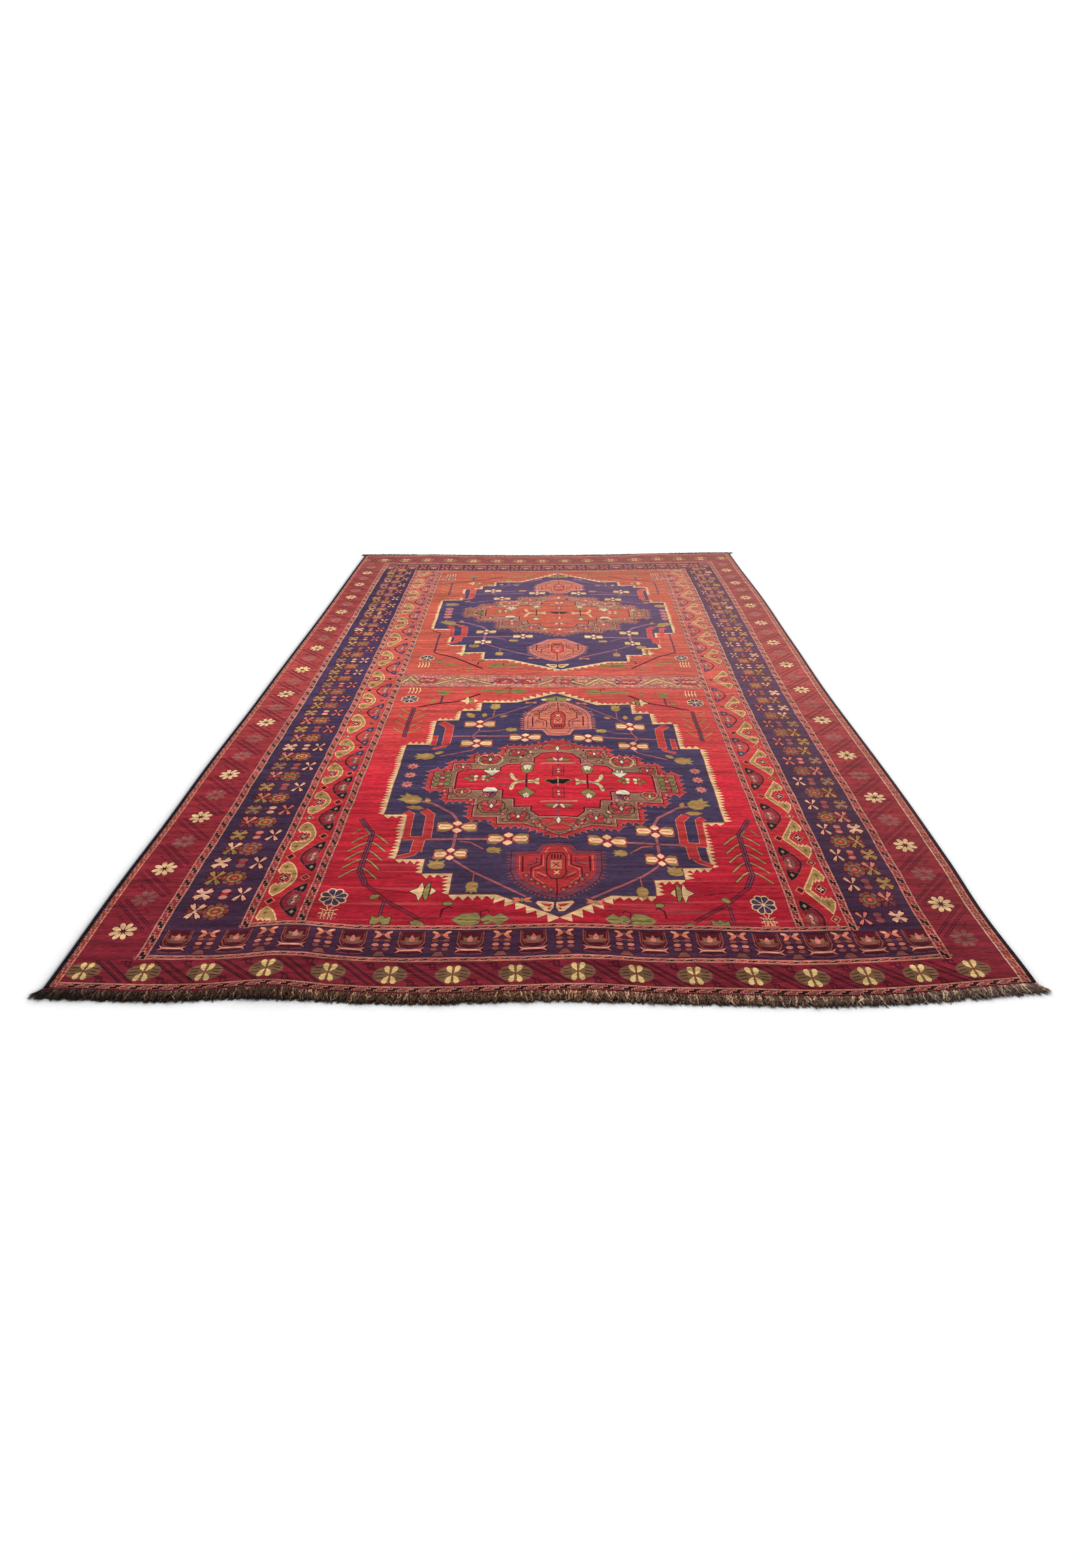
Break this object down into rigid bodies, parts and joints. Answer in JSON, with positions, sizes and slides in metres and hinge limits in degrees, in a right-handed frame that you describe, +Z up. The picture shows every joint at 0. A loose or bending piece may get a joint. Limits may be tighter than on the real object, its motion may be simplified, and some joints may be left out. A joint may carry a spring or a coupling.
{
  "type": "kilim rug",
  "caption": "Flat-woven wool kilim with two stacked medallions, patterned borders, overcast side edges and a short fringe at each end, lying flat.",
  "frame": {"origin": "on the floor under the middle of the rug's box", "axes": "+Y along the length towards the far end, +X across the width, +Z up out of the patterned face"},
  "size_m": [2.0274, 3.4324, 0.012],
  "materials": {
    "woven_wool": "hand-woven wool, matt, fine ribs across the width, crimson with navy, cream and olive",
    "edging_yarn": "dark navy wool yarn wrapped round the edge",
    "fringe_wool": "undyed brown wool warp ends, frizzy"
  },
  "bodies": {
    "root": {"kilim_cloth": "woven_wool", "selvedge_left": "edging_yarn", "selvedge_right": "edging_yarn", "fringe_near": "fringe_wool", "fringe_far": "fringe_wool"}
  },
  "joints": []
}
